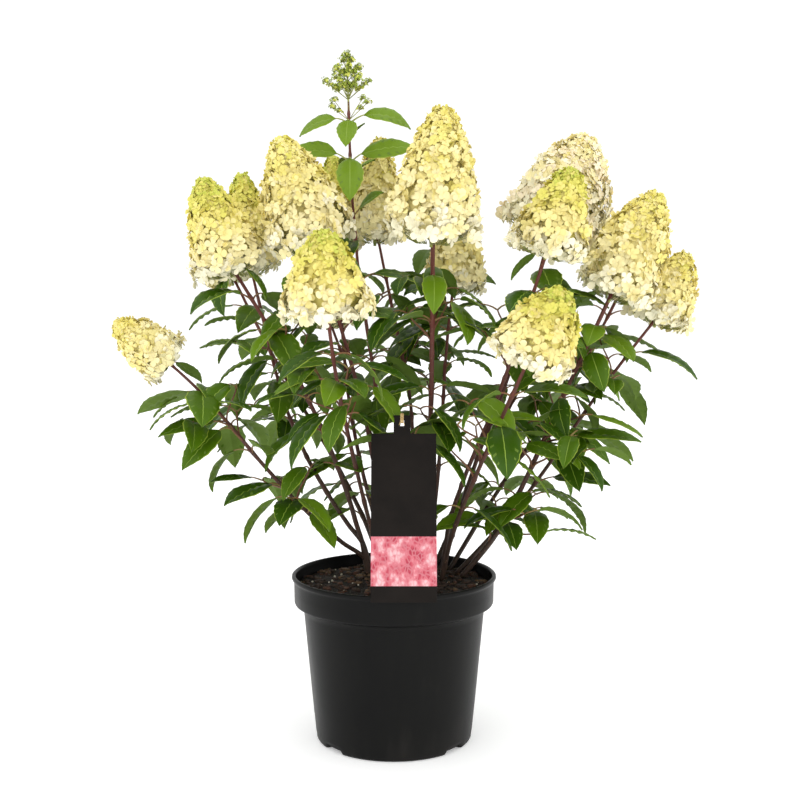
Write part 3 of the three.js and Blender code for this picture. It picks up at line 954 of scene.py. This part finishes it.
def grow_side_shoots(foliage, limbs, mass, shoots):
    """Side shoots that fill one mass: each leaves the nearest cane below and carries pairs of leaves."""
    rng = random.Random("shoots " + mass)
    middle, half = middle_and_half(mass)
    for shoot in range(shoots):
        ball = dome(1 - 2 * (shoot + 0.5) / shoots, shoot * GOLDEN_ANGLE + rng.uniform(-0.3, 0.3))
        target = middle + ball * half * rng.uniform(0.42, 0.62)
        start, way, girth = nearest_place(limbs, target)
        tip_way = unit(unit(target - start) + 0.35 * UP)
        path = curve_between(start, unit(way + unit(target - start)), target, tip_way, 8)
        length = np.linalg.norm(target - start)
        radii = np.linspace(min(1.7 * MM, 0.6 * girth), 1.0 * MM, 9)
        foliage.stalks.tube(path, radii, 6, 2)
        angle = rng.uniform(0, math.pi)
        pairs = max(1, int(length / (34 * MM)))
        for pair in range(pairs):
            step = round((1 - pair * 0.8 / pairs) * 8)
            way = unit(path[step] - path[step - 1])
            angle += math.pi / 2
            foliage.joint(rng, path[step], way, 1.2 * MM, angle, 68 * MM * rng.uniform(0.85, 1.1))


def nearest_place(limbs, target):
    """The place on any cane that is nearest to a point a little below the target."""
    aim = target - UP * 34 * MM

    def gaps(limb):
        return np.linalg.norm(limb.path - aim, axis=1)

    nearest = min(limbs, key=lambda limb: gaps(limb).min())
    return nearest.at(nearest.lengths[int(np.argmin(gaps(nearest)))])


# The leader's rings of leaves: how far each is below the open head's foot, in mm, and its leaves'
# headings from +X in degrees, lengths in mm, then rises, arches and rolls in radians.
LEADER_RINGS = {
    15: ((178, 58, 0, 1, -0.8), (4, 68, 0.3, 1.2, 0.8), (-92, 54, -0.4, 0.7, 0), (86, 42, 0.7, 0.5, 0.2)),
    30: ((-35, 24, 0.6, 0.2, 0.3),),
    62: (
        (172, 64, 0.4, 0.7, -0.9),
        (8, 72, 0.55, 0.7, 0.9),
        (-88, 72, -0.55, 0.65, 0),
        (95, 60, 0.1, 0.8, 0.2),
    ),
    78: ((-25, 32, 0.6, 0.3, 0.5),),
    127: ((-15, 46, 0.9, 0.5, 0.8), (165, 50, 0.3, 0.9, -0.6), (75, 56, 0, 0.9, 0)),
}


def grow_leader(foliage, limb, head):
    """The tall young cane at the top: rings of fresh leaves held wide below its open green head."""
    rng = random.Random(77)
    for drop, leaves in LEADER_RINGS.items():
        z = head.base[2] - drop * MM
        index = int(np.argmin(abs(limb.path[:, 2] - z)))
        point, way, girth = limb.at(limb.lengths[index])
        point = point + way * (z - point[2]) / way[2]
        for turn, size, *shape in leaves:
            out = heading(math.radians(turn))
            foliage.grow(rng, point, way, girth, out, size * MM, drop < 120, shape)
    joints = [distance for distance in leaf_joints(limb, rng) if limb.length - distance > 140 * MM]
    grow_on_cane(foliage, limb, joints)


# ---- flower heads

FLORET_TONES = {
    "floret_green": (203, 207, 94),
    "floret_lime": (220, 213, 106),
    "floret_lemon": (232, 220, 128),
    "floret_cream": (238, 225, 152),
    "floret_ivory": (242, 231, 176),
    "floret_white": (247, 241, 212),
    "floret_blush": (250, 237, 206),
    "floret_bud": (148, 166, 62),
}
BLUSH, BUD = 6, 7
CORE_SIDES = 20
# How often the florets cover the head, and a floret's area in squares of its radius.
FLORET_LAYERS = 2.6
FLORET_AREA = 2.6
SEPAL_ROWS = ((0.05, 0.09), (0.34, 0.32), (0.66, 0.45), (0.88, 0.36), (1.0, 0.14))


def sepal_template(rng):
    """A rounded, crumpled sepal along +X, two faces across, cupped towards +Z."""
    points = []
    wide = rng.uniform(0.86, 1.12)
    curl = rng.uniform(-0.30, 0.42)
    for out, half in SEPAL_ROWS:
        for side in (-1, 0, 1):
            cup = 0.30 * out**2 + (curl - 0.3) * out**4 + rng.uniform(0.02, 0.26) * abs(side) * half
            points.append([out + rng.uniform(-0.02, 0.02), side * half * wide, cup])
    return np.array(points), flipped(ring_faces(len(SEPAL_ROWS), 3, closed=False))


def floret_template(sepals, rng):
    """A floret of a few overlapping sepals round a small eye, one unit in radius, facing +Z."""
    floret = Sheaf()
    for number in range(sepals):
        sepal, faces = sepal_template(rng)
        way = heading(2 * math.pi * number / sepals + rng.uniform(-0.14, 0.14))
        sepal = sepal * rng.uniform(0.86, 1.08)
        sepal[:, 2] += 0.04 * (number % 2)
        floret.add(sepal @ np.array([way, np.cross(UP, way), UP]), faces, 0)
    eye = [[0.1, 0, 0.05], [0, 0.1, 0.05], [-0.1, 0, 0.05], [0, -0.1, 0.05], [0, 0, 0.17]]
    floret.add(eye, [[a, (a + 1) % 4, 4] for a in range(4)], 0)
    return np.concatenate(floret.points), floret.faces


def facing(normal, spin):
    """A square frame whose third axis is the normal."""
    side = unit(np.cross(normal, [0.13, 0.37, 0.92]))
    side = turned(side, unit(normal), spin)
    return np.array([side, np.cross(normal, side), normal])


# The open head's tiers: the height of the arms' feet above its own foot, their rise and their reach,
# all in mm, then the number of arms and of tufts along each.
LEADER_TIERS = (
    (-11, 18, 22, 2, 2),
    (-11, 24, 17, 2, 1),
    (14, 20, 26, 7, 2),
    (16, 24, 14, 5, 2),
    (36, 15, 14, 6, 2),
    (50, 11, 6, 4, 1),
    (58, 9, 1, 2, 1),
)


class Blossom:
    """Grows the florets and their stalks on one flower head."""

    def __init__(self, head, templates, stalks):
        self.head = head
        self.templates = templates
        self.stalks = stalks
        self.sheaf = Sheaf()
        open_head = head.slot == "bloom_green"
        self.rng = random.Random(404 if open_head else "florets " + head.node)
        if open_head:
            self.fill_open(head, self.rng)
        else:
            self.fill(head, self.rng)

    def floret(self, middle, normal, radius, tone):
        points, faces = self.templates[self.rng.randrange(len(self.templates))]
        axes = facing(unit(normal), any_turn(self.rng))
        self.sheaf.add(middle + (points * radius) @ axes, faces, tone)

    def stalk(self, start, end, radius):
        self.stalks.tube([start, (start + end) / 2, end], [radius, radius, radius * 0.8], 3, 1)

    def fill(self, head, rng):
        """Florets in a spiral over one flower head, small and green at the tip, wide at the skirt."""
        levels = np.linspace(0.10, 0.955, 80)
        widths = np.array([fullness(level) for level in levels]) * head.radius
        sizes = (9.8 - 5.7 * levels**1.7) * MM
        slant = np.arctan2(-np.gradient(widths), np.gradient(levels) * head.length)
        crowding = widths / np.cos(slant) / sizes**2
        order = np.cumsum(crowding) / np.sum(crowding)
        cover = 2 * math.pi * np.sum(crowding) * (levels[1] - levels[0]) * head.length
        count = int(FLORET_LAYERS * cover / FLORET_AREA)
        lumps = [(any_turn(rng), rng.choice((2, 3, 4))) for _ in range(3)]
        for number in range(count):
            level = float(np.interp((number + 0.5) / count, order, levels))
            angle = number * GOLDEN_ANGLE + rng.uniform(-0.25, 0.25)
            lump = sum(math.sin(turns * angle + phase + 7 * level) for phase, turns in lumps)
            width = 0.95 * head.radius * fullness(level) * (1 + 0.04 * lump)
            depth = rng.choice([1.04, 1.0, 1.0, 0.97, 0.92, 0.84])
            out = head.out(angle)
            size = float(np.interp(level, levels, sizes)) * rng.uniform(0.86, 1.14)
            inset = max(0.0, width - 0.5 * size) * depth
            middle = head.base + head.way * (level * head.length - 0.3 * size) + out * inset
            if level < 0.2 and rng.random() < 0.5:
                middle = middle - UP * rng.uniform(0, 6) * MM
            lean = float(np.interp(level, levels, slant)) - (0.25 if level < 0.22 else 0.0)
            normal = out * math.cos(lean) + head.way * math.sin(lean) + scatter(rng, 0.38)
            self.floret(middle, normal, size, self.tone(level, depth))
            if level < 0.6:
                joint = head.at(max(0.0, level - 0.16)) + out * inset * 0.35
                self.stalk(joint, middle - unit(normal) * 0.5 * MM, 0.5 * MM)
        self.underside(head, rng, count * 0.16)
        self.core(head, rng)
        rachis = [head.at(level) for level in (-0.02, 0.3, 0.6, 0.88)]
        self.stalks.tube(rachis, np.array([2.0, 1.7, 1.2, 0.6]) * MM, 6, 1)

    def underside(self, head, rng, count):
        """Florets that close the head from below, facing down and out."""
        for number in range(int(count)):
            out = head.out(number * GOLDEN_ANGLE)
            reach = head.radius * 0.8 * math.sqrt((number + 0.5) / count)
            middle = head.at(rng.uniform(0.08, 0.16)) + out * reach
            normal = out * 0.7 - head.way + scatter(rng, 0.35)
            size = 10.5 * MM * rng.uniform(0.85, 1.1)
            # Depth 0.9 makes these a touch darker than the skirt florets: painted shade under the head.
            self.floret(middle, normal, size, self.tone(0.1, 0.9))

    def core(self, head, rng):
        """The crowded inner florets, as one ragged shell behind the outer ones, toned darker as painted
        shade.
        """
        levels = np.linspace(0.16, 0.93, 12)
        points = []
        for ring, level in enumerate(levels):
            for step in range(CORE_SIDES):
                out = head.out(2 * math.pi * (step + 0.5 * (ring % 2)) / CORE_SIDES)
                width = head.radius * fullness(level) * rng.uniform(0.62, 0.78)
                points.append(head.at(level) + out * width)
        # Lemon in lime heads, cream in the rest: darker than most outer florets, painted shade in the
        # gaps.
        tone = 2 if head.slot == "bloom_lime" else 3
        self.sheaf.add(points, closed_rings(len(levels), CORE_SIDES), tone)

    def tone(self, level, depth):
        """A floret's tone number: greener at the tip, whiter at the skirt, darker deeper in as painted
        shade.
        """
        skirt, tip = RIPENESS[self.head.slot]
        # The depth term makes florets set deeper in less white and darker: painted shade between the
        # outer florets.
        whiteness = skirt + (tip - skirt) * level**0.75 - 0.3 * max(0.0, 1 - depth)
        whiteness += self.rng.gauss(0, 0.08)
        step = int(min(0.999, max(0.0, whiteness)) * 6)
        if step >= 4 and self.head.slot == "bloom_white" and self.rng.random() < 0.3:
            return BLUSH
        return step

    def fill_open(self, head, rng):
        """The open green head: tiers of rising arms, each with ragged tufts of tiny florets."""
        path = np.linspace(head.base, head.at(0.92), 6)
        self.stalks.tube(path, np.linspace(1.5, 0.7, 6) * MM, 6, 1)
        for foot, lift, reach, arms, tufts in LEADER_TIERS:
            for arm in range(arms):
                out = head.out(2 * math.pi * arm / arms + 0.02 * foot + 0.22)
                start = head.base + head.way * foot * MM
                end = start + (out * reach + head.way * lift) * rng.uniform(0.9, 1.08) * MM
                self.stalk(start, end, 0.6 * MM)
                for tuft in range(tufts):
                    share = 1 - 0.42 * tuft
                    spot = start + (end - start) * share + UP * 1.5 * tuft * MM
                    self.knot(spot, unit(0.6 * out + head.way), 4.0 - 0.4 * tuft)

    def knot(self, middle, way, reach):
        """A ragged tuft of buds and tiny florets, wider above than below."""
        rng = self.rng
        count = 15
        for number in range(count):
            ball = dome(1 - 1.5 * (number + 0.5) / count, number * GOLDEN_ANGLE)
            spot = middle + (ball * rng.uniform(0.5, 1.5) + 0.5 * way) * reach * MM
            self.stalk(middle, spot, 0.3 * MM)
            normal = ball + 0.7 * way + scatter(rng, 0.3)
            size = rng.uniform(1.3, 2.7) * MM
            self.floret(spot, normal, size, rng.choice([0, BUD, BUD]))


# ---- light, floor and camera


def make_stage():
    points, faces = lathe([(NEAR_AXIS, 0), (0.5, 0), (1.5, 0), (9.0, 0)], 64)
    mesh = bpy.data.meshes.new("floor")
    mesh.from_pydata(points.tolist(), [], faces)
    floor = add_object("floor", mesh)
    finish = Finish("floor_white", (248, 248, 248), 0.8)
    finish.shader.inputs["Emission Color"].default_value = (1, 1, 1, 1)
    finish.shader.inputs["Emission Strength"].default_value = 0.27
    finish.bump(finish.noise(200), 0.0002, 0.2)
    mesh.materials.append(finish.material)


def area_light(name, place, target, size, power):
    lamp = bpy.data.lights.new(name, "AREA")
    lamp.shape = "SQUARE"
    lamp.size = size
    lamp.energy = power
    holder = add_object(name, lamp)
    holder.location = place
    way = np.array(target) - np.array(place)
    pitch = math.atan2(math.hypot(way[0], way[1]), -way[2])
    holder.rotation_euler = (pitch, 0, math.atan2(way[1], way[0]) - math.pi / 2)


def make_light():
    world = bpy.data.worlds.new("studio")
    bpy.context.scene.world = world
    world.use_nodes = True
    backdrop = world.node_tree.nodes["Background"]
    backdrop.inputs["Color"].default_value = (1, 1, 1, 1)
    backdrop.inputs["Strength"].default_value = 1.12
    area_light("key", (-1.0, -2.4, 1.7), (0, 0, 0.5), 2.4, 12)
    area_light("fill", (1.6, -2.2, 0.9), (0, 0, 0.5), 2.4, 10)
    area_light("top", (0.2, 0.4, 2.8), (0, 0, 0.4), 2.2, 6)
    bpy.context.scene.view_settings.view_transform = "Standard"


def make_camera():
    data = bpy.data.cameras.new("camera")
    data.lens = 57.2
    data.sensor_width = 36
    camera = add_object("camera", data)
    camera.location = (0.0076, -1.580, 0.567)
    camera.rotation_euler = (math.radians(85), 0, 0)
    bpy.context.scene.camera = camera


# ---- the whole plant

make_camera()
make_light()
make_stage()
make_pot()
make_compost()
make_tag()

limbs = {node: Limb(node) for node in nodes_called("cane_") + nodes_called("trunk_")}
trunk = limbs["trunk_left"]
for limb in limbs.values():
    if limb.path[0][2] > trunk.path[0][2] + 10 * MM:
        limb.root_in(trunk)
trunk.close_top()
heads = [Head(node, limbs[node.replace("bloom_", "cane_")]) for node in nodes_called("bloom_")]
foliage = Foliage(heads, nodes_called("leaves_"))

bark = bark_finish()
for node, limb in limbs.items():
    joints = leaf_joints(limb, random.Random("joints " + node))
    make_cane(limb, joints, bark)
    if node == "cane_leader":
        grow_leader(foliage, limb, next(head for head in heads if head.slot == "bloom_green"))
    elif node.startswith("cane_"):
        grow_on_cane(foliage, limb, joints)
for mass in foliage.masses:
    grow_side_shoots(foliage, list(limbs.values()), mass, SHOOTS.get(mass, 7))

leaf_materials = [leaf_finish(name, *look) for name, look in LEAF_TONES.items()]
for mass, sheaf in foliage.sheaves.items():
    show(mass + "_sprays", sheaf, leaf_materials, "leaf", [mass])

floret_materials = [floret_finish(name, tone) for name, tone in FLORET_TONES.items()]
template_rng = random.Random(31)
sepal_counts = (4, 4, 4, 4, 5, 4, 4, 4, 3, 4, 4, 5)
templates = [floret_template(count, template_rng) for count in sepal_counts]
flower_stalks = Sheaf()
for head in heads:
    blossom = Blossom(head, templates, flower_stalks)
    show(head.node + "_florets", blossom.sheaf, floret_materials, head.slot, [head.node])

stalk_materials = [
    twig_finish("petiole_red", (132, 84, 58), (140, 120, 66)),
    twig_finish("stalk_green", (150, 160, 84), (176, 176, 104)),
    twig_finish("twig_brown", (104, 62, 44), (124, 84, 52)),
]
show("twigs", foliage.stalks, stalk_materials, "bark")
show("flower_stalks", flower_stalks, stalk_materials, "bark")
